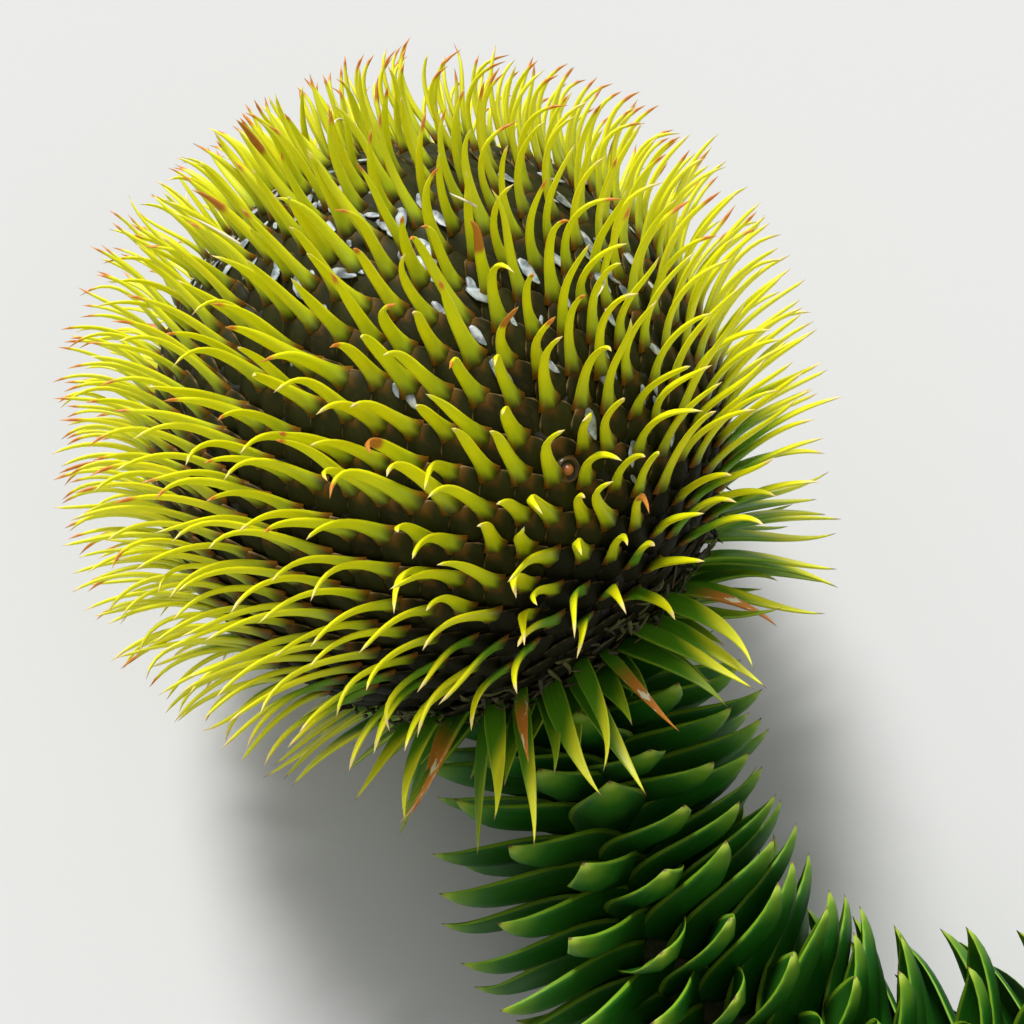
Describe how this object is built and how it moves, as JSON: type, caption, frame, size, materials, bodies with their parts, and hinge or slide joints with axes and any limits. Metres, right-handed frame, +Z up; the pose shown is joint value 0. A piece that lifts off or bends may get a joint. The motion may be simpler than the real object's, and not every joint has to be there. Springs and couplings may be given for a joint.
{
  "type": "monkey puzzle tree branch with seed cone",
  "caption": "Cut leafy shoot of a monkey puzzle tree lying on the ground, bent under one big round seed cone that bristles with curved spines above a collar of broad leaves.",
  "frame": {"origin": "on the ground, under the middle of the branch's box", "axes": "+Z up, +X the way the cut end of the shoot points, +Y from the shoot's bend towards the far side of the cone"},
  "size_m": [0.2774, 0.3026, 0.1846],
  "materials": {
    "cone_scales": "dark olive-brown woody scales, dull with a little resin",
    "spines": "waxy yellow-green spines, brown at the foot and orange at the tip",
    "collar_leaves": "waxy mid-green leaves with yellow-green points",
    "leaves": "leathery dark green leaves with paler edges",
    "stem": "rough brown bark with pale cut wood"
  },
  "bodies": {
    "root": {"cone_core": "cone_scales", "cone_spines_1": "spines", "cone_spines_2": "spines", "cone_spines_3": "spines", "cone_spines_4": "spines", "cone_spines_5": "spines", "cone_spines_6": "spines", "collar_leaves_1": "collar_leaves", "collar_leaves_2": "collar_leaves", "collar_leaves_3": "collar_leaves", "collar_leaves_4": "collar_leaves", "collar_leaves_5": "collar_leaves", "collar_leaves_6": "collar_leaves", "stem_neck": "stem", "stem_bend": "stem", "stem_foot": "stem", "shoot_leaves_1": "leaves", "shoot_leaves_2": "leaves", "shoot_leaves_3": "leaves", "shoot_leaves_4": "leaves"}
  },
  "joints": []
}
